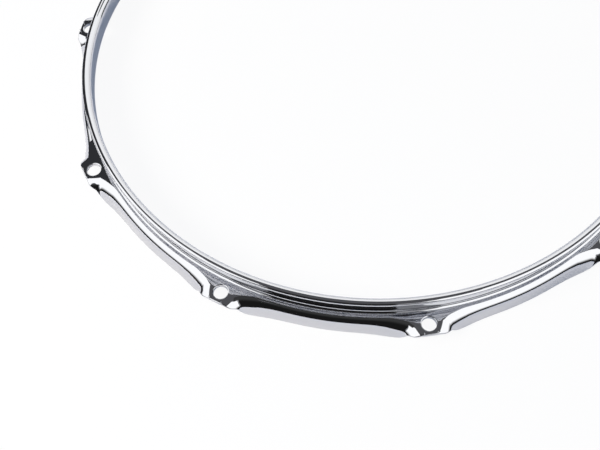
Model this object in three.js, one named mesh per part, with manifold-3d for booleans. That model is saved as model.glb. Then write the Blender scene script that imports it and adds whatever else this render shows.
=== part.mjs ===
// A chrome-plated steel drum hoop, lying with its stick lip up and its skirt down.
// One strip of sheet steel is rolled into a ring, joined by a butt weld and pressed
// into a lip, a wall, a shoulder and a skirt, with ten flat ears left for the rods.
// Lengths are in millimetres and angles in degrees. The axis is +Z, the skirt's foot
// stands on z = 0 and one ear points along +X.

import * as THREE from 'three';
import Module from 'manifold-3d';
import { mergeVertices } from 'three/addons/utils/BufferGeometryUtils.js';

const wasm = await Module();
wasm.setup();

// The ring
const innerRadius = 180;
const hoopHeight = 25.5;
const sheet = 2.3;

// The lip at the top, turned outward past square
const lipReach = 5.8;
const lipBend = 1.5;
const lipDroop = 8;

// The ears, flat tongues that carry the tension rods, with a land round each rod hole.
// They and the shoulder slope slightly outward, and earTop is their height at the holes.
// seatMargin is how far the flat seat reaches past the hole on either side.
const earCount = 10;
const earTop = 10.6;
const earTilt = 2.5;
const rodHoleReach = 11.5;
const rodHole = 8.5;
const earLand = 2.45;
const seatMargin = 2;
const earHalfWidth = rodHole / 2 + earLand;
const earReach = rodHoleReach + earHalfWidth;

// An ear's sides, which droop past the edge of its flat: half the flat's width at the
// tip and beside the rod hole, and the radius and the steepest slope of the droop
const tipHalfWidth = 3;
const rootHalfWidth = 7.6;
const wingBend = 8.6;
const wingSlope = 63;

// The shoulder and skirt between the ears, as reaches from the wall's inner face
const wallFillet = 2;
const shoulderReach = 5.05;
const cornerReach = 9.2;
const skirtReach = 10.6;

// Distances from an ear's centre between which the cut edge drops, the flat narrows, the
// ear's own fold turns in and the cut edge turns in, and where the flat, the skirt's foot
// and the skirt's flare settle
const dropStart = 2;
const dropEnd = 15;
const flatStart = 4;
const foldStart = 6;
const foldEnd = 14.5;
const cutFoldStart = 8.5;
const cutFoldEnd = 13.5;
const flatEnd = 23;
const footStart = 40;
const flareEnd = 52;

// The butt weld, ground flush outside and on the lip, left slightly proud inside
const weldWidth = 1.6;
const weldRise = 0.3;
const weldGap = 0.3;

// How much of each change takes place in the ear's own fold, and how the bends are drawn
const foldDropShare = 0.55;
const foldCornerShare = 0.5;
const foldFlareShare = 0.2;
const foldFlatShare = 0.66;
const flatSlipShare = 0.165;
const chamferShare = 0.6;
const skirtBendShare = 0.8;
const roundShare = 0.56;
const creasePower = 5;
const tipPower = 1.5;
const probeShare = 0.002;

// Steps along each curved stretch, and stations of a half pitch beside each ear
const lipSteps = 3;
const filletSteps = 2;
const flangeSteps = 6;
const holeSides = 16;
const foldStationShares = [0, 0.26, 0.58];
const spanStationShares = [0, 0.1, 0.24, 0.45, 0.72, 1];

const overrun = 1;
const fullTurn = 2 * Math.PI;
const pitch = fullTurn / earCount;
const rodCircle = innerRadius + rodHoleReach;
const filletEnd = sheet + wallFillet;
const wingRoot = rodHoleReach - rodHole / 2;
const weldAngle = (Math.floor(earCount / 4) + 0.5) * pitch;

const chrome = { color: 0xc9cdd2, roughness: 0.08, metalness: 1 };
const weldMetal = { color: 0xb4b8bc, roughness: 0.3, metalness: 1 };

// Rises smoothly from 0 to 1 between two distances
function ease(from, to, distance) {
  return THREE.MathUtils.smoothstep(distance, from, to);
}

// The same, quick at first and slow at the end
function easeOut(from, to, distance) {
  const left = 1 - THREE.MathUtils.clamp((distance - from) / (to - from), 0, 1);
  return ease(0, 1, 1 - left * left);
}

// Distance along the rod circle from the nearest ear's centre
function earDistance(angle) {
  const turns = angle / pitch;
  return Math.abs(turns - Math.round(turns)) * pitch * rodCircle;
}

// The shoulder and skirt's outer face in a radial section, without the droop of the ear's
// sides, as a path of reach against height that starts where the wall's fillet ends
function flangePath(distance) {
  const slipEnd = THREE.MathUtils.lerp(flatStart, flatEnd, flatSlipShare);
  const slip = ease(flatStart, slipEnd, distance);
  const flatRun = ease(flatStart, flatEnd, distance);
  const flatShare = THREE.MathUtils.lerp(flatRun, slip, foldFlatShare);
  const fold = ease(foldStart, foldEnd, distance);
  const turnIn = THREE.MathUtils.lerp(easeOut(foldStart, footStart, distance), fold, foldCornerShare);
  const cutFold = ease(cutFoldStart, cutFoldEnd, distance);
  const flare = THREE.MathUtils.lerp(easeOut(earHalfWidth, flareEnd, distance), cutFold, foldFlareShare);
  const plunge = ease(dropStart, dropEnd, distance);
  const drop = THREE.MathUtils.lerp(easeOut(dropStart, footStart, distance), plunge, foldDropShare);

  const flat = new THREE.Vector2(THREE.MathUtils.lerp(earReach, shoulderReach, flatShare), earTop);
  const edge = new THREE.Vector2(THREE.MathUtils.lerp(earReach, skirtReach, flare), earTop * (1 - drop));
  const chamfered = edge.x - chamferShare * (1 - fold) * earTop * drop;
  const cornerX = Math.min(THREE.MathUtils.lerp(earReach, cornerReach, turnIn), chamfered);
  const corner = new THREE.Vector2(cornerX, earTop);
  const bendLength = Math.min(corner.x - flat.x, skirtBendShare * corner.distanceTo(edge));
  const bendEnd = edge.clone().sub(corner).setLength(bendLength).add(corner);
  const flatHandle = flat.clone().lerp(corner, roundShare);
  const skirtHandle = bendEnd.clone().lerp(corner, roundShare);

  const path = new THREE.Path();
  path.moveTo(filletEnd, earTop);
  path.lineTo(flat.x, flat.y);
  path.bezierCurveTo(flatHandle.x, flatHandle.y, skirtHandle.x, skirtHandle.y, bendEnd.x, bendEnd.y);
  path.lineTo(edge.x, edge.y);
  return path;
}

// How far the drooping side of an ear lies under the ear's flat
function wingDrop(distance, reach) {
  const run = earReach - wingRoot;
  const share = THREE.MathUtils.clamp((reach - wingRoot) / run, 0, 1);
  const narrowing = rootHalfWidth - tipHalfWidth;
  const start = rootHalfWidth - narrowing * share ** tipPower;
  const lean = Math.atan(tipPower * narrowing / run * share ** (tipPower - 1));
  const past = Math.max(distance - start, 0) * Math.cos(lean);
  const slope = THREE.MathUtils.degToRad(wingSlope);
  const bendRun = wingBend * Math.sin(slope);
  if (past < bendRun) {
    return wingBend - Math.sqrt(wingBend ** 2 - past ** 2);
  }
  return wingBend * (1 - Math.cos(slope)) + (past - bendRun) * Math.tan(slope);
}

// The lesser of two drops, rounded where they cross, which makes the crease
function lesser(first, second) {
  const low = Math.max(Math.min(first, second), 0);
  const high = Math.max(first, second, Number.EPSILON);
  return low / (1 + (low / high) ** creasePower) ** (1 / creasePower);
}

// Height after the shoulder's slight outward slope, which leaves the foot level
function tilted(reach, height) {
  const slope = Math.tan(THREE.MathUtils.degToRad(earTilt)) / earTop;
  return height * (1 + (rodHoleReach - reach) * slope);
}

// Stands a point of a radial section at its angle round the ring
function placed(angle, reach, height) {
  const radius = innerRadius + reach;
  return new THREE.Vector3(radius * Math.cos(angle), radius * Math.sin(angle), height);
}

function flangePoint(angle, share) {
  const distance = earDistance(angle);
  const point = flangePath(distance).getPoint(share);
  const drop = lesser(earTop - point.y, wingDrop(distance, point.x));
  return placed(angle, point.x, tilted(point.x, earTop - drop));
}

// Unit normal of the flange's outer face, pointing through the sheet to its inner face
function flangeInward(angle, share) {
  const low = Math.max(share - probeShare, 0);
  const high = Math.min(share + probeShare, 1);
  const across = flangePoint(angle, high).sub(flangePoint(angle, low));
  const probe = probeShare * pitch;
  const along = flangePoint(angle + probe, share).sub(flangePoint(angle - probe, share));
  return across.cross(along).normalize().negate();
}

function arcPoints(centre, radius, from, to, steps) {
  const points = [];
  for (let step = 0; step <= steps; step += 1) {
    const turn = THREE.MathUtils.degToRad(THREE.MathUtils.lerp(from, to, step / steps));
    points.push([centre[0] + radius * Math.cos(turn), centre[1] + radius * Math.sin(turn)]);
  }
  return points;
}

// The lip, its bend, the wall and the fillet, at one depth in the sheet for the lip
// and one for the rest
function rimPoints(lipDepth, wallDepth) {
  const lipCentre = [sheet + lipBend, hoopHeight - sheet - lipBend];
  const filletCentre = [filletEnd, tilted(filletEnd, earTop) + wallFillet];
  const slope = THREE.MathUtils.degToRad(lipDroop);
  const middleRadius = lipBend + sheet / 2;
  const bendTip = lipCentre[0] + middleRadius * Math.sin(slope);
  const straight = (lipReach - sheet / 2 - bendTip) / Math.cos(slope);
  const bend = [
    ...arcPoints(lipCentre, lipBend + lipDepth, 90 - lipDroop, 90, 1),
    ...arcPoints(lipCentre, lipBend + lipDepth, 90, 180, lipSteps).slice(1),
  ];
  const fillet = arcPoints(filletCentre, wallFillet + wallDepth, 180, 270, filletSteps);
  const tip = [bend[0][0] + straight * Math.cos(slope), bend[0][1] - straight * Math.sin(slope)];
  return [tip, ...bend, ...fillet];
}

// One closed loop round the sheet in the radial plane at an angle, with its inner face
// raised by some height below the lip
function sectionLoop(angle, rise) {
  const depth = sheet + rise;
  const outerRim = rimPoints(0, 0).map(([reach, height]) => placed(angle, reach, height));
  const innerRim = rimPoints(sheet, depth).map(([reach, height]) => placed(angle, reach, height));
  const outerFlange = [];
  const innerFlange = [];
  for (let step = 1; step <= flangeSteps; step += 1) {
    const outer = flangePoint(angle, step / flangeSteps);
    const inner = flangeInward(angle, step / flangeSteps).multiplyScalar(depth).add(outer);
    inner.z = Math.max(inner.z, 0);
    outerFlange.push(outer);
    innerFlange.push(inner);
  }
  const lipTip = outerRim[0].clone().lerp(innerRim[0], 0.5);
  const lipNose = placed(angle, lipReach, lipTip.z);
  return [...outerRim, ...outerFlange, ...innerFlange.reverse(), ...innerRim.reverse(), lipNose];
}

// Angles of the stations from one end of a half pitch to the other, ear side first
function halfPitchAngles() {
  const halfPitch = rodCircle * pitch / 2;
  const stretches = [
    [rodHole / 2 + seatMargin, foldEnd, foldStationShares],
    [foldEnd, halfPitch, spanStationShares],
  ];
  const distances = stretches.flatMap(([from, to, shares]) =>
    shares.map((share) => THREE.MathUtils.lerp(from, to, share)));
  return distances.map((distance) => distance / rodCircle);
}

// Angles of every station from one strip end to the other, seam to seam
function stripAngles() {
  const half = halfPitchAngles();
  const end = (weldWidth / 2 + weldGap) / rodCircle;
  const inner = half.slice(0, -1);
  const angles = [weldAngle + end];
  for (let ear = 0; ear < earCount; ear += 1) {
    const centre = weldAngle + pitch / 2 + ear * pitch;
    angles.push(...inner.map((offset) => centre - offset).reverse());
    angles.push(...inner.map((offset) => centre + offset));
    angles.push(centre + half.at(-1));
  }
  angles.pop();
  angles.push(weldAngle + fullTurn - end);
  return angles;
}

// Flat triangulation of a section, for the two ends of a lofted body
function capTriangles(loop) {
  const outline = loop.map((point) => new THREE.Vector2(Math.hypot(point.x, point.y), point.z));
  return THREE.ShapeUtils.triangulateShape(outline, []);
}

// A closed body through the section loops at the given angles
function loft(angles, rise) {
  const loops = angles.map((angle) => sectionLoop(angle, rise));
  const count = loops[0].length;
  const indices = [];
  for (let station = 0; station < loops.length - 1; station += 1) {
    for (let corner = 0; corner < count; corner += 1) {
      const next = (corner + 1) % count;
      const a = station * count + corner;
      const b = station * count + next;
      indices.push(a, b, a + count, b, b + count, a + count);
    }
  }
  const last = (loops.length - 1) * count;
  for (const [a, b, c] of capTriangles(loops[0])) {
    indices.push(a, b, c);
  }
  for (const [a, b, c] of capTriangles(loops.at(-1))) {
    indices.push(last + c, last + b, last + a);
  }
  const positions = loops.flat().flatMap((point) => point.toArray());
  const geometry = new THREE.BufferGeometry();
  geometry.setAttribute('position', new THREE.Float32BufferAttribute(positions, 3));
  geometry.setIndex(indices);
  return geometry;
}

function toManifold(geometry) {
  const bare = geometry.clone();
  bare.deleteAttribute('normal');
  bare.deleteAttribute('uv');
  const merged = mergeVertices(bare);
  const vertProperties = new Float32Array(merged.attributes.position.array);
  const triVerts = new Uint32Array(merged.index.array);
  return new wasm.Manifold(new wasm.Mesh({ numProp: 3, vertProperties, triVerts }));
}

function toGeometry(solid) {
  const mesh = solid.getMesh();
  const geometry = new THREE.BufferGeometry();
  geometry.setAttribute('position', new THREE.Float32BufferAttribute(mesh.vertProperties, 3));
  geometry.setIndex([...mesh.triVerts]);
  geometry.computeVertexNormals();
  return geometry;
}

// A cutter that passes through one ear where its tension rod goes
function rodHoleCutter(angle) {
  const length = sheet + 2 * overrun;
  const cutter = new THREE.CylinderGeometry(rodHole / 2, rodHole / 2, length, holeSides);
  const centre = placed(angle, rodHoleReach, earTop - sheet / 2);
  cutter.rotateX(Math.PI / 2);
  cutter.translate(centre.x, centre.y, centre.z);
  return toManifold(cutter);
}

function hoopStrip() {
  let solid = toManifold(loft(stripAngles(), 0));
  for (let ear = 0; ear < earCount; ear += 1) {
    solid = solid.subtract(rodHoleCutter(ear * pitch));
  }
  return toGeometry(solid);
}

function buttWeld() {
  const half = weldWidth / 2 / rodCircle;
  const geometry = loft([weldAngle - half, weldAngle + half], weldRise);
  geometry.computeVertexNormals();
  return geometry;
}

function named(name, geometry, finish) {
  const mesh = new THREE.Mesh(geometry, new THREE.MeshStandardMaterial(finish));
  mesh.name = name;
  return mesh;
}

const hoop = new THREE.Group();
hoop.add(named('hoop_strip', hoopStrip(), chrome));
hoop.add(named('butt_weld', buttWeld(), weldMetal));

export default hoop;
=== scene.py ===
"""A chrome-plated steel drum hoop in a small studio, laid out as a Blender add-on.

The hoop is one strip of sheet steel, rolled into a ring, butt welded and pressed into a
lip, a wall, a shoulder and a skirt, with flat ears for the tension rods. Lengths are in
metres and angles in radians unless a name says otherwise.
"""

import math

import bmesh
import bpy
import numpy as np
from bpy.props import FloatProperty, FloatVectorProperty, IntProperty, PointerProperty
from bpy.types import Operator, Panel, PropertyGroup
from mathutils import Matrix, Vector


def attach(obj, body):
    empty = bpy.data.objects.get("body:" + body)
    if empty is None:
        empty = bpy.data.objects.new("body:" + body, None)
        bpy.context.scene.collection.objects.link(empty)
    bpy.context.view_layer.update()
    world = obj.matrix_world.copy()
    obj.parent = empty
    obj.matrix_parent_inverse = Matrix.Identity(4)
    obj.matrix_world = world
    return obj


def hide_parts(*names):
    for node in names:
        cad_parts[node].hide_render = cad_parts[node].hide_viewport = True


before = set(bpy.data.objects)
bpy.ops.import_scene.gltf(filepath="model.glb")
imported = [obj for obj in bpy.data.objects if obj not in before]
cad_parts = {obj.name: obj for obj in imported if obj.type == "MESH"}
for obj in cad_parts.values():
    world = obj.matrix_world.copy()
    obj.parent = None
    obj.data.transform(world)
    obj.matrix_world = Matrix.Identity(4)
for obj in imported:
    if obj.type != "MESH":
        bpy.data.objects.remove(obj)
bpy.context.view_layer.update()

bl_info = {
    "name": "Pressed drum hoop",
    "version": (1, 0, 0),
    "blender": (4, 5, 0),
    "location": "3D View > Sidebar > Drum hoop",
    "description": "Builds a chrome-plated pressed steel drum hoop and its studio",
    "category": "Add Mesh",
}

MM = 0.001
TINY = 1e-9
BODY = "root"


def linear(hex_code):
    """Turns an sRGB hex colour such as #C0C0C0 to linear red, green, blue and alpha."""
    channels = [int(hex_code[start:start + 2], 16) / 255 for start in (1, 3, 5)]
    return (*[
        channel / 12.92 if channel <= 0.04045 else ((channel + 0.055) / 1.055) ** 2.4
        for channel in channels
    ], 1.0)


def length_property(name, description, millimetres):
    return FloatProperty(
        name=name, description=description, default=millimetres * MM,
        min=0, subtype="DISTANCE", unit="LENGTH", precision=5,
    )


def angle_property(name, description, degrees):
    return FloatProperty(
        name=name, description=description, default=math.radians(degrees),
        subtype="ANGLE", unit="ROTATION",
    )


def colour_property(name, description, hex_code):
    return FloatVectorProperty(
        name=name, description=description, default=linear(hex_code),
        size=4, min=0, max=1, subtype="COLOR",
    )


def factor_property(name, description, value, highest=1):
    return FloatProperty(
        name=name, description=description, default=value, min=0, max=highest,
        subtype="FACTOR" if highest == 1 else "NONE",
    )


class DrumHoopSizes(PropertyGroup):
    """The hoop's own sizes."""

    inner_radius: length_property("Inner radius", "Radius of the wall's inner face", 180)
    height: length_property("Height", "From the skirt's foot to the lip's crown", 25.5)
    sheet: length_property("Sheet", "Thickness of the steel", 2.3)
    lip_reach: length_property("Lip reach", "Width of the lip from the inner face", 5.8)
    lip_bend: length_property("Lip bend", "Inside radius of the bend under the lip", 1.5)
    lip_droop: angle_property("Lip droop", "Slope of the lip past square", 8)
    ear_count: IntProperty(
        name="Ears", description="Ears round the hoop, one for each rod", default=10, min=2
    )
    ear_top: length_property("Ear top", "Height of the ears' upper face", 10.6)
    ear_tilt: angle_property("Ear tilt", "Outward slope of the shoulder and the ears", 2.5)
    rod_hole_reach: length_property("Rod hole reach", "Hole centre from the inner face", 11.5)
    rod_hole: length_property("Rod hole", "Diameter of a rod hole", 8.5)
    ear_land: length_property("Ear land", "Flat left round a rod hole", 2.45)
    wall_fillet: length_property("Wall fillet", "Radius from the wall to the flange", 2)
    shoulder_reach: length_property("Shoulder reach", "Where the shoulder's bend starts", 5.05)
    corner_reach: length_property("Corner reach", "Corner that the shoulder rounds", 9.2)
    skirt_reach: length_property("Skirt reach", "Reach of the skirt's foot", 10.6)
    tip_half_width: length_property("Tip half width", "Half the flat's width at the tip", 3)
    root_half_width: length_property("Root half width", "The same beside the rod hole", 7.6)
    wing_bend: length_property("Wing bend", "Radius of an ear's drooping sides", 8.6)
    wing_slope: angle_property("Wing slope", "Steepest slope of an ear's sides", 63)
    flat_start: length_property("Flat start", "Where the flat turns in beside an ear", 4)
    drop_start: length_property("Drop start", "Where the cut edge starts to drop", 2)
    fold_start: length_property("Fold start", "Where an ear's own fold starts", 6)
    fold_end: length_property("Fold end", "Where an ear's own fold ends", 14.5)
    cut_fold_start: length_property("Cut start", "Where the cut edge turns in", 8.5)
    cut_fold_end: length_property("Cut end", "Where the cut edge's turn ends", 13.5)
    drop_end: length_property("Drop end", "Where the cut edge's own drop ends", 15)
    flat_end: length_property("Flat end", "Where the flat beside an ear runs out", 23)
    foot_start: length_property("Foot start", "Where the skirt is full depth", 40)
    flare_end: length_property("Flare end", "Where the skirt's flare settles", 52)
    cut_edge: length_property("Cut edge", "Rounding of the strip's cut edge", 0.5)
    punch_width: length_property("Punch width", "Width of the roll-over round a rod hole", 0.7)
    punch_depth: length_property("Punch depth", "Depth of the roll-over", 0.25)
    weld_width: length_property("Weld width", "Width of the butt weld", 1.6)
    weld_rise: length_property("Weld rise", "How far the weld stands proud inside", 0.3)


class DrumHoopFinish(PropertyGroup):
    """Colours and surface of the chrome plate and the weld."""

    chrome: colour_property("Chrome", "Colour of bright chromium plate", "#D4D5D8")
    chrome_roughness: factor_property("Chrome roughness", "Gloss of the polished plate", 0.035)
    weld: colour_property("Weld", "Colour of the ground weld under its plate", "#C6C7CA")
    weld_roughness: factor_property("Weld roughness", "Gloss of the ground weld", 0.22)


class DrumHoopStudio(PropertyGroup):
    """The floor, the light round the hoop and the camera."""

    floor: colour_property("Floor", "Colour of the pale floor", "#E9EBEE")
    sky: colour_property("Room light", "Soft light from the room", "#B4CCF4")
    sky_strength: factor_property("Room strength", "Strength of the room's light", 0.5, 10)
    key_power: factor_property("Key lamp power", "Power of the soft lamp, in watts", 24, 1000)
    key_colour: colour_property("Key lamp", "Colour of the soft lamp", "#FFF4E5")
    box_strength: factor_property("Softbox strength", "Strength of the side softboxes", 1.47, 10)
    far_strength: factor_property("Far wall strength", "Glow of the wall behind", 1.3, 10)
    horizon_strength: factor_property("Horizon", "Glow of the softboxes' dark feet", 0.02)
    # The ceiling, the grey flags and the dark corner are cards that glow in these colours and are no
    # lamps: painted light and painted shade for the room round the hoop.
    ceiling: colour_property("Ceiling", "Grey ceiling over the hoop", "#5D5D60")
    grey_flag: colour_property("Grey flag", "Grey cards beside the camera", "#A2A3A6")
    dark_corner: colour_property("Dark corner", "Unlit corner behind on the left", "#38393C")
    camera_turn: angle_property("Camera turn", "Camera's turn about the hoop's axis", 12.607)
    camera_height: angle_property("Camera elevation", "Camera's angle above the horizon", 58.44)
    camera_roll: angle_property("Camera roll", "Camera's roll about its own axis", 2.64)
    camera_place: FloatVectorProperty(
        name="Camera place", description="Where the camera stands",
        default=(42.1 * MM, -421.1 * MM, 494.6 * MM), size=3, subtype="TRANSLATION",
    )
    camera_lens: FloatProperty(
        name="Focal length", description="On a sensor 36 mm wide", default=57.81,
        min=1, unit="CAMERA",
    )


# How much of each change takes place in the ear's own fold, how the bends are drawn, and
# how late the sheet's faces draw in to the rounded cut edge
FOLD_DROP_SHARE = 0.55
FOLD_CORNER_SHARE = 0.5
FOLD_FLARE_SHARE = 0.2
FOLD_FLAT_SHARE = 0.66
FLAT_SLIP_SHARE = 0.165
CREASE_POWER = 5
TIP_POWER = 1.5
CHAMFER_SHARE = 0.6
SKIRT_BEND_SHARE = 0.8
ROUND_SHARE = 0.56
EDGE_FADE_POWER = 8

# Steps of the mesh along each curved stretch of a section and round the ring
LIP_STEPS = 3
BEND_STEPS = 12
WALL_STEPS = 3
FILLET_STEPS = 6
FLANGE_STEPS = 44
EDGE_STEPS = 4
NOSE_STEPS = 6
EAR_STEPS = 6
FOLD_STEPS = 22
RUN_STEPS = 10
SPAN_STEPS = 12
CURVE_SAMPLES = 48
RIM_STEPS = 6
LAND_STEPS = 6
WELD_STATIONS = 9

# Share of its width that the weld fills, the angle from which an edge stays sharp, and the
# digits of a millimetre that have to agree for two stations to share an outline
WELD_FILL = 0.98
SHARP_DEGREES = 50
SAME_DIGITS = 6

# Size and depth of the chrome's waver, its buffing and the weld's scratches. A range is the
# part of the pattern that shows, and a swing is what it makes of the gloss.
WAVER_SIZE = 20 * MM
WAVER_DEPTH = 0.12 * MM
BUFFING_SIZE = 4 * MM
BUFFING_RANGE = (0.3, 0.75)
BUFFING_SWING = (0.6, 1.5)
SCRATCH_SIZE = 0.4 * MM
SCRATCH_DEPTH = 0.03 * MM
SCRATCH_STRETCH = (1.0, 1.0, 0.08)
SCRATCH_RANGE = (0.3, 0.7)
SCRATCH_SWING = (0.7, 1.4)

# The dome of cards and softboxes, and the lamp that lights the paper
DOME_RADIUS = 2.6
CARD_GAP = 0.02
CARD_STEP = 2
CARD_ROWS = 16
KEY_AZIMUTH = 205
KEY_ELEVATION = 38
KEY_DISTANCE = 1.4
KEY_SIZE = 0.7

# The paper, and how much of its plain white is seen directly and in the chrome
WHITE = (1, 1, 1, 1)
PAPER_HALF_WIDTH = 2.5
PAPER_HEIGHT = -0.05 * MM
SEEN_SHARE = 0.93
MIRRORED_SHARE = 0.08

# Glow of the cards, painted light where they are no lamps, and the elevations in degrees between
# which it fades to its foot's
FAR_FOOT_GLOW = 1.08
BLACK_GLOW = 0.055
BLACK_FOOT_GLOW = 0.013
OVERHEAD_GLOW = 0.05
SIDE_FADE = (10, 28)
FAR_FADE = (10, 46)
GREY_FADE = (8, 26)
BLACK_FADE = (40, 66)

# Outlines of the cards, the outermost first: azimuths, each with the lowest and the highest
# elevation there. Azimuth 90 is straight behind the hoop, seen from the camera.
FOOT = -3
CARD_OUTLINES = {
    "ceiling": [(0, FOOT, 90), (360, FOOT, 90)],
    "overhead_flag": [
        (150, 84, 90), (165, 77, 90), (185, 76, 90), (205, 66, 90), (300, 66, 90), (312, 84, 90),
    ],
    "far_wall": [
        (10, FOOT, 46), (30, FOOT, 51), (100, FOOT, 51), (108, FOOT, 50), (113, FOOT, 40),
    ],
    "left_softbox": [
        (130, 56, 64), (140, 50, 69), (152, 25, 72), (158, FOOT, 74), (185, FOOT, 76),
        (205, FOOT, 70), (226, FOOT, 58),
    ],
    "right_softbox": [
        (290, FOOT, 60), (303, FOOT, 70), (330, FOOT, 77), (360, FOOT, 79), (390, FOOT, 72),
    ],
    "left_flag": [(222, FOOT, 54), (236, FOOT, 54)],
    "right_flag": [(268, FOOT, 66), (290, FOOT, 66)],
    "camera_flag": [
        (226, 56, 80), (228, 46, 80), (233, 44, 80), (234.5, FOOT, 80), (270, FOOT, 80),
        (276, 30, 80), (280, 60, 80), (286, 72, 80),
    ],
    "dark_corner": [
        (112, FOOT, 44), (116, FOOT, 56), (131, FOOT, 56), (140, FOOT, 50), (152, FOOT, 25),
        (158, FOOT, -2),
    ],
}

# The camera's sensor in millimetres, and the nearest and farthest that it sees in metres
SENSOR_WIDTH = 36
CLIP_NEAR = 0.01
CLIP_FAR = 20


def ease(low, high, value):
    """Rises smoothly from 0 to 1 between two values."""
    share = np.clip((value - low) / (high - low), 0, 1)
    return share * share * (3 - 2 * share)


def ease_out(low, high, value):
    """The same, quick at first and slow at the end."""
    left = 1 - np.clip((value - low) / (high - low), 0, 1)
    return ease(0, 1, 1 - left * left)


def mix(first, last, share):
    return first + (last - first) * share


class HoopShape:
    """Works out the pressed sheet's faces from the hoop's sizes."""

    def __init__(self, sizes):
        self.sizes = sizes
        self.rod_circle = sizes.inner_radius + sizes.rod_hole_reach
        self.ear_half = sizes.rod_hole / 2 + sizes.ear_land
        self.ear_reach = sizes.rod_hole_reach + self.ear_half
        self.fillet_end = sizes.sheet + sizes.wall_fillet
        self.pitch = 2 * math.pi / sizes.ear_count

    def ear_distance(self, angle):
        """Distance along the rod circle from the nearest ear's centre."""
        turns = angle / self.pitch
        return abs(turns - np.round(turns)) * self.pitch * self.rod_circle

    def edge_reach(self, distance):
        """Reach of an ear's outer edge, which is cut straight across the ear."""
        radius = self.sizes.inner_radius + self.ear_reach
        inside = min(distance, self.ear_half) / self.rod_circle
        return radius * math.cos(self.ear_half / self.rod_circle) / math.cos(inside) \
            - self.sizes.inner_radius

    def flange_outline(self, distance, shares):
        """Reach and height of the flange's upper face at shares of its developed width."""
        sizes = self.sizes
        begin = sizes.flat_start
        fold = ease(sizes.fold_start, sizes.fold_end, distance)
        slip = ease(begin, mix(begin, sizes.flat_end, FLAT_SLIP_SHARE), distance)
        cut_fold = ease(sizes.cut_fold_start, sizes.cut_fold_end, distance)
        flat_share = mix(ease(begin, sizes.flat_end, distance), slip, FOLD_FLAT_SHARE)
        run = ease_out(sizes.fold_start, sizes.foot_start, distance)
        turn_in = mix(run, fold, FOLD_CORNER_SHARE)
        plunge = ease(sizes.drop_start, sizes.drop_end, distance)
        flare = mix(ease_out(self.ear_half, sizes.flare_end, distance), cut_fold, FOLD_FLARE_SHARE)
        drop = mix(ease_out(sizes.drop_start, sizes.foot_start, distance), plunge, FOLD_DROP_SHARE)
        outer = self.edge_reach(distance)
        flat = np.array([mix(outer, sizes.shoulder_reach, flat_share), sizes.ear_top])
        edge = np.array([mix(outer, sizes.skirt_reach, flare), sizes.ear_top * (1 - drop)])
        sloped = edge[0] - CHAMFER_SHARE * (1 - fold) * sizes.ear_top * drop
        corner = np.array([min(mix(outer, sizes.corner_reach, turn_in), sloped), sizes.ear_top])
        skirt = np.linalg.norm(edge - corner)
        bend = min(corner[0] - flat[0], SKIRT_BEND_SHARE * skirt)
        bend_end = corner + (edge - corner) * (bend / skirt if skirt else 0)
        flat_handle = mix(flat, corner, ROUND_SHARE)
        skirt_handle = mix(bend_end, corner, ROUND_SHARE)
        step = np.linspace(0, 1, CURVE_SAMPLES)[:, None]
        curve = (
            (1 - step) ** 3 * flat + 3 * (1 - step) ** 2 * step * flat_handle
            + 3 * (1 - step) * step ** 2 * skirt_handle + step ** 3 * bend_end
        )
        start = np.array([self.fillet_end, sizes.ear_top])
        path = np.vstack([start, curve, edge])
        lengths = np.concatenate([[0], np.cumsum(np.linalg.norm(np.diff(path, axis=0), axis=1))])
        places = np.asarray(shares) * lengths[-1]
        reach, height = (np.interp(places, lengths, path[:, axis]) for axis in (0, 1))
        drop = self.lesser(sizes.ear_top - height, self.wing_drop(distance, reach))
        return np.stack([reach, self.tilted(reach, sizes.ear_top - drop)], axis=1)

    def upper_height(self, points):
        """Height of the flange's upper face under points seen from above."""
        angles = np.arctan2(points[:, 1], points[:, 0])
        reaches = np.linalg.norm(points, axis=1) - self.sizes.inner_radius
        shares = np.linspace(0, 1, CURVE_SAMPLES)
        heights = []
        for distance, reach in zip(self.ear_distance(angles), reaches):
            outline = self.flange_outline(float(distance), shares)
            heights.append(np.interp(reach, outline[:, 0], outline[:, 1]))
        return np.array(heights)

    def tilted(self, reach, height):
        """Height after the shoulder's slight outward slope, which leaves the foot level."""
        slope = math.tan(self.sizes.ear_tilt) / self.sizes.ear_top
        return height * (1 + (self.sizes.rod_hole_reach - reach) * slope)

    def wing_drop(self, distance, reach):
        """How far the drooping side of an ear lies under the ear's flat."""
        sizes = self.sizes
        root = sizes.rod_hole_reach - sizes.rod_hole / 2
        run = self.ear_reach - root
        share = np.clip((reach - root) / run, 0, 1)
        narrowing = sizes.root_half_width - sizes.tip_half_width
        start = sizes.root_half_width - narrowing * share ** TIP_POWER
        lean = np.arctan(TIP_POWER * narrowing / run * share ** (TIP_POWER - 1))
        past = np.maximum(distance - start, 0) * np.cos(lean)
        bend_run = sizes.wing_bend * math.sin(sizes.wing_slope)
        bend_drop = sizes.wing_bend * (1 - math.cos(sizes.wing_slope))
        rounded = sizes.wing_bend - np.sqrt(
            np.maximum(sizes.wing_bend ** 2 - np.minimum(past, bend_run) ** 2, 0)
        )
        straight = bend_drop + (past - bend_run) * math.tan(sizes.wing_slope)
        return np.where(past < bend_run, rounded, straight)

    def lesser(self, first, second):
        """The lesser of two drops, rounded where they cross, which makes the crease."""
        low = np.maximum(np.minimum(first, second), 0)
        high = np.maximum(np.maximum(first, second), TINY)
        return low / (1 + (low / high) ** CREASE_POWER) ** (1 / CREASE_POWER)

    def station_distances(self):
        """Distances of the mesh's stations from an ear's centre to the middle of a span."""
        half_pitch = self.rod_circle * self.pitch / 2
        sizes = self.sizes
        land_end = sizes.rod_hole / 2 + sizes.punch_width + sizes.cut_edge
        stretches = [
            (0, land_end, EAR_STEPS),
            (land_end, sizes.cut_fold_end, FOLD_STEPS),
            (sizes.cut_fold_end, sizes.flat_end, RUN_STEPS),
            (sizes.flat_end, half_pitch, SPAN_STEPS),
        ]
        parts = [np.linspace(low, high, steps + 1)[:-1] for low, high, steps in stretches]
        return np.concatenate([*parts, [half_pitch]])

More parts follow.
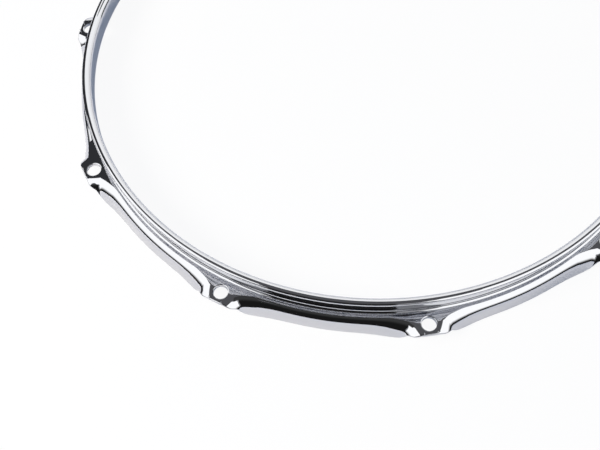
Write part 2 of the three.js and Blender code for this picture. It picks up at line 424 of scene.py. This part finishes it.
    def placed(self, angles, outline):
        """Stands outlines of reach and height, one for each angle, round the ring."""
        radius = self.sizes.inner_radius + outline[..., 0]
        angles = np.asarray(angles)[:, None]
        return np.stack(
            [radius * np.cos(angles), radius * np.sin(angles), outline[..., 1]], axis=-1
        )

    def flange_faces(self, angles):
        """Upper face points, the way across them and the normal through the sheet."""
        shares = np.linspace(0, 1, FLANGE_STEPS + 1)
        known = {}
        outlines = []
        for distance in self.ear_distance(np.asarray(angles)):
            key = round(float(distance) / MM, SAME_DIGITS)
            if key not in known:
                known[key] = self.flange_outline(float(distance), shares)
            outlines.append(known[key])
        upper = self.placed(angles, np.array(outlines))
        across = np.gradient(upper, axis=1, edge_order=2)
        along = np.gradient(upper, np.asarray(angles), axis=0, edge_order=2)
        normal = np.cross(across, along)
        normal /= -np.linalg.norm(normal, axis=-1, keepdims=True)
        across /= np.linalg.norm(across, axis=-1, keepdims=True)
        return upper, across, normal

    def arc(self, centre, radius, start_degrees, end_degrees, steps):
        turns = np.radians(np.linspace(start_degrees, end_degrees, steps + 1))
        return np.stack(
            [centre[0] + radius * np.cos(turns), centre[1] + radius * np.sin(turns)], axis=1
        )

    def rim_outline(self, lip_depth, wall_depth):
        """Lip, bend, wall and fillet on one face of the sheet, from the lip's nose down."""
        sizes = self.sizes
        bend_centre = (sizes.sheet + sizes.lip_bend, sizes.height - sizes.sheet - sizes.lip_bend)
        shoulder = self.tilted(self.fillet_end, sizes.ear_top)
        fillet_centre = (self.fillet_end, shoulder + sizes.wall_fillet)
        slope = np.array([math.cos(sizes.lip_droop), -math.sin(sizes.lip_droop)])
        middle = sizes.lip_bend + sizes.sheet / 2
        bend_tip = bend_centre[0] + middle * math.sin(sizes.lip_droop)
        straight = (sizes.lip_reach - sizes.sheet / 2 - bend_tip) / slope[0]
        lip_turn = 90 - math.degrees(sizes.lip_droop)
        bend = self.arc(bend_centre, sizes.lip_bend + lip_depth, lip_turn, 180, BEND_STEPS)
        fillet = self.arc(fillet_centre, sizes.wall_fillet + wall_depth, 180, 270, FILLET_STEPS)
        lip = mix(bend[0] + slope * straight, bend[0], np.linspace(0, 1, LIP_STEPS + 1)[:-1, None])
        wall = mix(bend[-1], fillet[0], np.linspace(0, 1, WALL_STEPS + 1)[1:-1, None])
        return np.vstack([lip, bend, wall, fillet])

    def nose(self, lower_tip, upper_tip):
        """Half round between the two faces of the lip, its ends left out."""
        centre = (lower_tip + upper_tip) / 2
        radius = np.linalg.norm(upper_tip - lower_tip) / 2
        start = 90 - math.degrees(self.sizes.lip_droop)
        return self.arc(centre, radius, start, start - 180, NOSE_STEPS)[1:-1]

    def section_loops(self, angles, rise):
        """Closed loops round the sheet, one for each angle, and where the flange lies in them.

        rise has one value for each angle: how far the inner face stands proud there.
        """
        sizes = self.sizes
        outer_rim = self.rim_outline(0, 0)
        upper, across, normal = self.flange_faces(angles)
        depth = (sizes.sheet + rise)[:, None, None]
        lower = upper + normal * depth
        cut = sizes.cut_edge
        end, way, through = upper[:, -1], across[:, -1], normal[:, -1]
        under = end + through * depth[:, 0]
        sunk = np.maximum(-under[:, 2], 0) / np.maximum(-way[:, 2], MM)
        slide = sunk[:, None] * way
        turns = np.linspace(0, math.pi / 2, EDGE_STEPS + 1)
        upper_corner = end - way * cut + through * cut
        lower_corner = under - slide - way * cut - through * cut
        edge = [
            upper_corner + cut * (way * math.sin(turn) - through * math.cos(turn))
            for turn in turns
        ] + [
            lower_corner + cut * (way * math.cos(turn) + through * math.sin(turn))
            for turn in turns
        ]
        edge = np.stack(edge, axis=1)
        fade = np.linspace(0, 1, FLANGE_STEPS + 1)[None, :, None] ** EDGE_FADE_POWER
        upper = upper - way[:, None] * cut * fade
        lower = lower - (way * cut + slide)[:, None] * fade
        inner_rims = np.array([self.rim_outline(sizes.sheet, sizes.sheet + extra) for extra in rise])
        noses = np.array([self.nose(outer_rim[0], rim[0]) for rim in inner_rims])
        outer = self.placed(angles, np.repeat(outer_rim[None], len(angles), axis=0))
        inner = self.placed(angles, inner_rims)
        loops = np.concatenate([
            outer, upper[:, 1:-1], edge, lower[:, -2:0:-1], inner[:, ::-1],
            self.placed(angles, noses),
        ], axis=1)
        loops[..., 2] = np.maximum(loops[..., 2], 0)
        upper_start = outer.shape[1] - 1
        lower_start = upper_start + FLANGE_STEPS + edge.shape[1] - 1
        return loops, upper_start, lower_start


class MeshParts:
    """Points and faces of one mesh as they are gathered."""

    def __init__(self):
        self.points = []
        self.faces = []

    def add_points(self, points):
        first = len(self.points)
        self.points.extend(map(tuple, points))
        return list(range(first, len(self.points)))

    def add_loops(self, loops, skipped=()):
        """Joins neighbouring loops by quads, except for the skipped cells."""
        rows = [self.add_points(loop) for loop in loops]
        count = len(rows[0])
        for station, (row, following) in enumerate(zip(rows, rows[1:])):
            for corner in range(count):
                if (station, corner) in skipped:
                    continue
                beside = (corner + 1) % count
                self.faces.append(
                    (row[corner], row[beside], following[beside], following[corner])
                )
        return rows

    def join_rings(self, first, second):
        count = len(first)
        for index in range(count):
            beside = (index + 1) % count
            self.faces.append((first[index], first[beside], second[beside], second[index]))

    def to_object(self, name, material):
        """Makes the smooth-shaded object, with its faces turned outward."""
        mesh = bpy.data.meshes.new(name)
        mesh.from_pydata(self.points, [], self.faces)
        sheet_mesh = bmesh.new()
        sheet_mesh.from_mesh(mesh)
        bmesh.ops.recalc_face_normals(sheet_mesh, faces=sheet_mesh.faces)
        sheet_mesh.to_mesh(mesh)
        sheet_mesh.free()
        mesh.polygons.foreach_set("use_smooth", [True] * len(mesh.polygons))
        mesh.set_sharp_from_angle(angle=math.radians(SHARP_DEGREES))
        mesh.materials.append(material)
        piece = bpy.data.objects.new(name, mesh)
        bpy.context.scene.collection.objects.link(piece)
        return piece


def add_rod_hole(parts, shape, angle, upper_edge, lower_edge):
    """Fills the gap left in an ear by a land, a rounded rim and the hole's wall.

    upper_edge and lower_edge are the gap's corner points in order, as indices.
    """
    sizes = shape.sizes
    centre = np.array([
        shape.rod_circle * math.cos(angle), shape.rod_circle * math.sin(angle),
    ])
    points = np.array(parts.points)
    ways = points[upper_edge, :2] - centre
    ways /= np.linalg.norm(ways, axis=1, keepdims=True)
    radius = sizes.rod_hole / 2
    top = sizes.ear_top
    foot = top - sizes.sheet

    def ring(reach, height):
        flat = centre + ways * reach
        tilted = shape.tilted(np.linalg.norm(flat, axis=1) - sizes.inner_radius, height)
        return np.column_stack([flat, tilted])

    def land(edge, rim):
        shares = np.linspace(0, 1, LAND_STEPS + 1)[1:-1]
        return [mix(points[edge], rim, share) for share in shares]

    def seated(row):
        return np.column_stack([row[:, :2], shape.upper_height(row[:, :2])])

    cut = sizes.cut_edge / 2
    rims = []
    for turn in np.linspace(0, math.pi / 2, RIM_STEPS + 1):
        rims.append(ring(
            radius + sizes.punch_width * (1 - math.sin(turn)),
            top - sizes.punch_depth * (1 - math.cos(turn)),
        ))
    for turn in np.linspace(0, math.pi / 2, RIM_STEPS // 2 + 1):
        rims.append(ring(
            radius + cut * (1 - math.cos(turn)), foot + cut * (1 - math.sin(turn))
        ))
    upper_land = [seated(row) for row in land(upper_edge, rims[0])]
    rows = [*upper_land, *rims, *reversed(land(lower_edge, rims[-1]))]
    previous = upper_edge
    for row in rows:
        following = parts.add_points(row)
        parts.join_rings(previous, following)
        previous = following
    parts.join_rings(previous, lower_edge)


def box_edge(rows, stations, corners):
    """Indices round the outside of a block of the loops' cells, in order."""
    low, high = stations
    near, far = corners
    step = 1 if far > near else -1
    forward = [rows[low][corner] for corner in range(near, far, step)]
    side = [rows[station][far] for station in range(low, high)]
    back = [rows[high][corner] for corner in range(far, near, -step)]
    closing = [rows[station][near] for station in range(high, low, -1)]
    return forward + side + back + closing


def strip_stations(shape):
    """Angles of every station from one side of the weld round to the other."""
    offsets = shape.station_distances() / shape.rod_circle
    weld_angle = weld_place(shape)
    end = shape.sizes.weld_width / 2 / shape.rod_circle
    angles = [weld_angle + end]
    ears = []
    for ear in range(shape.sizes.ear_count):
        centre = weld_angle + shape.pitch * (ear + 0.5)
        angles.extend(centre - offsets[-2:0:-1])
        ears.append(len(angles))
        angles.extend(centre + offsets)
    angles[-1] = weld_angle + 2 * math.pi - end
    return np.array(angles), ears


def weld_place(shape):
    """Angle of the weld, in the middle of the span that faces +Y."""
    return (shape.sizes.ear_count // 4 + 0.5) * shape.pitch


def build_strip(sizes, material):
    """Sweeps the section round the ring and fills the gaps that it leaves for rod holes."""
    shape = HoopShape(sizes)
    angles, ears = strip_stations(shape)
    loops, upper_start, lower_start = shape.section_loops(angles, np.zeros(len(angles)))
    width = shape.ear_reach - shape.fillet_end
    reach = (sizes.rod_hole_reach - shape.fillet_end) / width * FLANGE_STEPS
    spread = (sizes.rod_hole / 2 + sizes.punch_width + sizes.cut_edge / 2) / width * FLANGE_STEPS
    near, far = math.floor(reach - spread), math.ceil(reach + spread)
    skipped = set()
    for ear in ears:
        for station in range(ear - EAR_STEPS, ear + EAR_STEPS):
            for corner in range(near, far):
                skipped.add((station, upper_start + corner))
                skipped.add((station, lower_start + FLANGE_STEPS - 1 - corner))
    parts = MeshParts()
    rows = parts.add_loops(loops, skipped)
    for ear in ears:
        stations = (ear - EAR_STEPS, ear + EAR_STEPS)
        upper_edge = box_edge(rows, stations, (upper_start + near, upper_start + far))
        lower_corners = [lower_start + FLANGE_STEPS - corner for corner in (near, far)]
        lower_edge = box_edge(rows, stations, lower_corners)
        add_rod_hole(parts, shape, angles[ear], upper_edge, lower_edge)
    parts.faces.append(tuple(rows[0]))
    parts.faces.append(tuple(reversed(rows[-1])))
    return parts.to_object("pressed_strip", material)


def build_weld(sizes, material):
    """A slice of the same section, whose inner face stands proud like a bead."""
    shape = HoopShape(sizes)
    places = np.linspace(-1, 1, WELD_STATIONS)
    half = sizes.weld_width / 2 / shape.rod_circle
    rise = sizes.weld_rise * (1 - places ** 2)
    loops, _, _ = shape.section_loops(weld_place(shape) + places * half * WELD_FILL, rise)
    parts = MeshParts()
    rows = parts.add_loops(loops)
    parts.faces.append(tuple(rows[0]))
    parts.faces.append(tuple(reversed(rows[-1])))
    return parts.to_object("weld_bead", material)


def add_node(tree, kind, settings=None, inputs=None):
    """Adds a node with its settings, and sets or links its inputs."""
    node = tree.nodes.new(kind)
    for name, value in (settings or {}).items():
        setattr(node, name, value)
    for key, value in (inputs or {}).items():
        if isinstance(value, bpy.types.NodeSocket):
            tree.links.new(value, node.inputs[key])
        else:
            node.inputs[key].default_value = value
    return node


def new_material(name):
    material = bpy.data.materials.new(name)
    material.use_nodes = True
    material.node_tree.nodes.clear()
    return material, material.node_tree


def bright_chrome(finish):
    """Bright chromium plate over polished, pressed steel.

    The plate is a mirror. The steel under it was pressed, so reflections waver a little, and
    buffing left the gloss slightly uneven over a few millimetres.
    """
    material, tree = new_material("bright_chrome_plate")
    place = add_node(tree, "ShaderNodeTexCoord")
    waver = add_node(tree, "ShaderNodeTexNoise", inputs={
        "Vector": place.outputs["Object"], "Scale": 1 / WAVER_SIZE, "Detail": 1.0,
        "Roughness": 0.4,
    })
    buffing = add_node(tree, "ShaderNodeTexNoise", inputs={
        "Vector": place.outputs["Object"], "Scale": 1 / BUFFING_SIZE, "Detail": 3.0,
        "Roughness": 0.6,
    })
    gloss = add_node(tree, "ShaderNodeMapRange", inputs={
        "Value": buffing.outputs["Fac"],
        "From Min": BUFFING_RANGE[0], "From Max": BUFFING_RANGE[1],
        "To Min": finish.chrome_roughness * BUFFING_SWING[0],
        "To Max": finish.chrome_roughness * BUFFING_SWING[1],
    })
    bump = add_node(tree, "ShaderNodeBump", inputs={
        "Height": waver.outputs["Fac"], "Strength": 1.0, "Distance": WAVER_DEPTH,
    })
    plate = add_node(tree, "ShaderNodeBsdfPrincipled", inputs={
        "Base Color": finish.chrome[:], "Metallic": 1.0, "Roughness": gloss.outputs["Result"],
        "Normal": bump.outputs["Normal"],
    })
    add_node(tree, "ShaderNodeOutputMaterial", inputs={"Surface": plate.outputs["BSDF"]})
    return material


def ground_weld(finish):
    """Weld bead, ground with a fine wheel before plating, so the plate shows the scratches."""
    material, tree = new_material("ground_weld_under_chrome")
    place = add_node(tree, "ShaderNodeTexCoord")
    stretched = add_node(tree, "ShaderNodeMapping", inputs={
        "Vector": place.outputs["Object"], "Scale": SCRATCH_STRETCH,
    })
    scratches = add_node(tree, "ShaderNodeTexNoise", inputs={
        "Vector": stretched.outputs["Vector"], "Scale": 1 / SCRATCH_SIZE, "Detail": 3.0,
    })
    gloss = add_node(tree, "ShaderNodeMapRange", inputs={
        "Value": scratches.outputs["Fac"],
        "From Min": SCRATCH_RANGE[0], "From Max": SCRATCH_RANGE[1],
        "To Min": finish.weld_roughness * SCRATCH_SWING[0],
        "To Max": finish.weld_roughness * SCRATCH_SWING[1],
    })
    bump = add_node(tree, "ShaderNodeBump", inputs={
        "Height": scratches.outputs["Fac"], "Strength": 0.5, "Distance": SCRATCH_DEPTH,
    })
    plate = add_node(tree, "ShaderNodeBsdfPrincipled", inputs={
        "Base Color": finish.weld[:], "Metallic": 1.0, "Roughness": gloss.outputs["Result"],
        "Normal": bump.outputs["Normal"],
    })
    add_node(tree, "ShaderNodeOutputMaterial", inputs={"Surface": plate.outputs["BSDF"]})
    return material


def white_share(tree, seen, mirrored):
    """How much of a surface's or a room's look is plain white.

    That is seen for rays from the camera or through glass, mirrored for rays off metal, and
    none for the rays that light other things.
    """
    path = add_node(tree, "ShaderNodeLightPath")
    direct = add_node(tree, "ShaderNodeMath", {"operation": "MAXIMUM"}, {
        0: path.outputs["Is Camera Ray"], 1: path.outputs["Is Transmission Ray"],
    })
    shares = [
        add_node(tree, "ShaderNodeMath", {"operation": "MULTIPLY"}, {0: ray, 1: share})
        for ray, share in (
            (direct.outputs["Value"], seen), (path.outputs["Is Glossy Ray"], mirrored),
        )
    ]
    return add_node(tree, "ShaderNodeMath", {"operation": "MAXIMUM"}, {
        0: shares[0].outputs["Value"], 1: shares[1].outputs["Value"],
    }).outputs["Value"]


def glowing_card(name, colour, strength, foot_strength=None, fade=(0, 0)):
    """Card or diffuser cloth that glows evenly, or fades to another strength at its foot.

    The fade lies between two elevations in degrees, seen from the hoop. Where the card is no lamp,
    the glow and its fade are painted light and painted shade.
    """
    material, tree = new_material(name)
    if foot_strength is not None:
        place = add_node(tree, "ShaderNodeNewGeometry")
        height = add_node(tree, "ShaderNodeSeparateXYZ", inputs={
            "Vector": place.outputs["Position"],
        })
        low, high = (DOME_RADIUS * math.sin(math.radians(elevation)) for elevation in fade)
        strength = add_node(tree, "ShaderNodeMapRange", {"interpolation_type": "SMOOTHSTEP"}, {
            "Value": height.outputs["Z"], "From Min": low, "From Max": high,
            "To Min": foot_strength, "To Max": strength,
        }).outputs["Result"]
    glow = add_node(tree, "ShaderNodeEmission", inputs={"Color": colour, "Strength": strength})
    add_node(tree, "ShaderNodeOutputMaterial", inputs={"Surface": glow.outputs["Emission"]})
    return material


def white_sweep(studio):
    """Matt white paper sweep. It looks white, and the chrome shows more of its shadow."""
    material, tree = new_material("matt_white_paper")
    paper = add_node(tree, "ShaderNodeBsdfDiffuse", inputs={"Color": studio.floor[:]})
    white = add_node(tree, "ShaderNodeEmission", inputs={"Color": WHITE, "Strength": 1.0})
    look = add_node(tree, "ShaderNodeMixShader", inputs={
        "Fac": white_share(tree, SEEN_SHARE, MIRRORED_SHARE),
        1: paper.outputs["BSDF"], 2: white.outputs["Emission"],
    })
    add_node(tree, "ShaderNodeOutputMaterial", inputs={"Surface": look.outputs["Shader"]})
    return material


def add_stage_mesh(name, points, faces, material):
    mesh = bpy.data.meshes.new(name)
    mesh.from_pydata(points, [], faces)
    mesh.materials.append(material)
    item = bpy.data.objects.new(name, mesh)
    bpy.context.scene.collection.objects.link(item)
    return item


def add_dome_card(name, material, outline, turn, radius):
    """A card or softbox as a piece of a wide dome, seen only in reflections.

    The outline lists azimuths, each with the lowest and highest elevation, in degrees.
    """
    corners = np.array(outline, dtype=float)
    columns = np.arange(corners[0, 0], corners[-1, 0] + CARD_STEP / 2, CARD_STEP)
    lows, highs = (np.interp(columns, corners[:, 0], corners[:, side]) for side in (1, 2))
    points = []
    for share in np.linspace(0, 1, CARD_ROWS):
        for azimuth, elevation in zip(columns, mix(lows, highs, share)):
            around, up = math.radians(azimuth) + turn, math.radians(elevation)
            points.append((
                radius * math.cos(up) * math.cos(around),
                radius * math.cos(up) * math.sin(around),
                radius * math.sin(up),
            ))
    count = len(columns)
    faces = [
        (row * count + column, row * count + column + 1,
         (row + 1) * count + column + 1, (row + 1) * count + column)
        for row in range(CARD_ROWS - 1) for column in range(count - 1)
    ]
    card = add_stage_mesh(name, points, faces, material)
    card.visible_camera = False
    card.visible_diffuse = False
    card.visible_shadow = False
    return card


def add_key_lamp(studio):
    """Soft lamp at the left that lights the paper; the cards are what the chrome shows."""
    lamp = bpy.data.lights.new("key_lamp", "AREA")
    lamp.shape = "DISK"
    lamp.size = KEY_SIZE
    lamp.energy = studio.key_power
    lamp.color = studio.key_colour[:3]
    item = bpy.data.objects.new("key_lamp", lamp)
    around = math.radians(KEY_AZIMUTH) + studio.camera_turn
    up = math.radians(KEY_ELEVATION)
    place = Vector((
        math.cos(up) * math.cos(around), math.cos(up) * math.sin(around), math.sin(up),
    )) * KEY_DISTANCE
    item.location = place
    item.rotation_euler = place.to_track_quat("Z", "Y").to_euler()
    item.visible_glossy = False
    bpy.context.scene.collection.objects.link(item)


def add_camera(studio):
    """Stands the camera where the photograph was taken from."""
    camera = bpy.data.cameras.new("camera")
    camera.lens = studio.camera_lens
    camera.sensor_width = SENSOR_WIDTH
    camera.clip_start = CLIP_NEAR
    camera.clip_end = CLIP_FAR
    ahead = Vector((0, math.cos(studio.camera_height), -math.sin(studio.camera_height)))
    up = Vector((0, math.sin(studio.camera_height), math.cos(studio.camera_height)))
    right = Vector((1, 0, 0))
    cosine, sine = math.cos(studio.camera_roll), math.sin(studio.camera_roll)
    rolled_right = right * cosine - up * sine
    rolled_up = right * sine + up * cosine
    axes = Matrix((rolled_right, rolled_up, -ahead)).transposed().to_4x4()
    turn = Matrix.Rotation(studio.camera_turn, 4, "Z")
    item = bpy.data.objects.new("camera", camera)
    item.matrix_world = Matrix.Translation(studio.camera_place) @ turn @ axes
    bpy.context.scene.collection.objects.link(item)
    bpy.context.scene.camera = item


def light_room(studio):
    """Soft light from all round, which looks white to the camera and in the chrome."""
    world = bpy.data.worlds.new("white_room")
    world.use_nodes = True
    tree = world.node_tree
    tree.nodes.clear()
    white = add_node(tree, "ShaderNodeBackground", inputs={"Color": WHITE, "Strength": 1.0})
    room = add_node(tree, "ShaderNodeBackground", inputs={
        "Color": studio.sky[:], "Strength": studio.sky_strength,
    })
    look = add_node(tree, "ShaderNodeMixShader", inputs={
        "Fac": white_share(tree, 1, 1),
        1: room.outputs["Background"], 2: white.outputs["Background"],
    })
    add_node(tree, "ShaderNodeOutputWorld", inputs={"Surface": look.outputs["Shader"]})
    bpy.context.scene.world = world


class DRUMHOOP_OT_strip(Operator):
    """Build the pressed and chromed strip with its lip, wall, skirt, ears and rod holes"""

    bl_idname = "drum_hoop.strip"
    bl_label = "Pressed strip"

    def execute(self, context):
        scene = context.scene
        piece = build_strip(scene.drum_hoop_sizes, bright_chrome(scene.drum_hoop_finish))
        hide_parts("hoop_strip")
        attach(piece, BODY)
        return {"FINISHED"}


class DRUMHOOP_OT_weld(Operator):
    """Build the butt weld that closes the strip into a ring"""

    bl_idname = "drum_hoop.weld"
    bl_label = "Butt weld"

    def execute(self, context):
        scene = context.scene
        piece = build_weld(scene.drum_hoop_sizes, ground_weld(scene.drum_hoop_finish))
        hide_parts("butt_weld")
        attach(piece, BODY)
        return {"FINISHED"}


class DRUMHOOP_OT_stage(Operator):
    """Build the floor, the room's light, the softboxes, the flags and the camera"""

    bl_idname = "drum_hoop.stage"
    bl_label = "Studio"

    def execute(self, context):
        studio = context.scene.drum_hoop_studio
        half = PAPER_HALF_WIDTH
        corners = [(-half, -half), (half, -half), (half, half), (-half, half)]
        add_stage_mesh(
            "paper_floor", [(x, y, PAPER_HEIGHT) for x, y in corners], [(0, 1, 2, 3)],
            white_sweep(studio),
        )
        dark = studio.horizon_strength
        side = glowing_card("side_softbox_cloth", WHITE, studio.box_strength, dark, SIDE_FADE)
        # Painted light: the grey flags glow, fading to near dark at their foot; they are no lamps.
        grey = glowing_card("grey_flag_painted_glow", studio.grey_flag[:], 1.0, dark, GREY_FADE)
        cloths = {
            # Painted light: the ceiling is an even grey glow on a card, not a lamp.
            "ceiling": glowing_card("ceiling_painted_glow", studio.ceiling[:], 1.0),
            # Painted shade: the overhead flag is a dark card that glows faintly, not a lamp.
            "overhead_flag": glowing_card("overhead_flag_painted_glow", WHITE, OVERHEAD_GLOW),
            # Painted light: the lit far wall is a glow on a card, a little dimmer towards its foot.
            "far_wall": glowing_card(
                "far_wall_painted_glow", WHITE, studio.far_strength, FAR_FOOT_GLOW, FAR_FADE
            ),
            "left_softbox": side,
            "right_softbox": side,
            "left_flag": grey,
            "right_flag": grey,
            # Painted shade: the dark round the camera is a card that glows faintly, darker towards
            # its foot.
            "camera_flag": glowing_card(
                "camera_flag_painted_glow", WHITE, BLACK_GLOW, BLACK_FOOT_GLOW, BLACK_FADE
            ),
            "dark_corner": glowing_card("dark_room_corner", studio.dark_corner[:], 1.0),
        }
        for place, (name, outline) in enumerate(CARD_OUTLINES.items()):
            radius = DOME_RADIUS - place * CARD_GAP
            add_dome_card(name, cloths[name], outline, studio.camera_turn, radius)
        add_key_lamp(studio)
        light_room(studio)
        add_camera(studio)
        context.scene.view_settings.view_transform = "Standard"
        return {"FINISHED"}


class DRUMHOOP_PT_panel(Panel):
    """Lists the steps and the values they use"""

    bl_label = "Drum hoop"
    bl_idname = "DRUMHOOP_PT_panel"
    bl_space_type = "VIEW_3D"
    bl_region_type = "UI"
    bl_category = "Drum hoop"

    def draw(self, context):
        scene = context.scene
        for step in STEPS:
            self.layout.operator(step.bl_idname)
        for group in (scene.drum_hoop_sizes, scene.drum_hoop_finish, scene.drum_hoop_studio):
            box = self.layout.box()
            for name in group.bl_rna.properties.keys():
                if name not in ("rna_type", "name"):
                    box.prop(group, name)


GROUPS = {
    "drum_hoop_sizes": DrumHoopSizes,
    "drum_hoop_finish": DrumHoopFinish,
    "drum_hoop_studio": DrumHoopStudio,
}
STEPS = (DRUMHOOP_OT_stage, DRUMHOOP_OT_strip, DRUMHOOP_OT_weld)


def register():
    for group in GROUPS.values():
        bpy.utils.register_class(group)
    for name, group in GROUPS.items():
        setattr(bpy.types.Scene, name, PointerProperty(type=group))
    for step in (*STEPS, DRUMHOOP_PT_panel):
        bpy.utils.register_class(step)


def unregister():
    for step in (DRUMHOOP_PT_panel, *reversed(STEPS)):
        bpy.utils.unregister_class(step)
    for name, group in GROUPS.items():
        delattr(bpy.types.Scene, name)
        bpy.utils.unregister_class(group)


def main():
    register()
    bpy.ops.drum_hoop.stage()
    bpy.ops.drum_hoop.strip()
    bpy.ops.drum_hoop.weld()


if __name__ == "__main__":
    main()
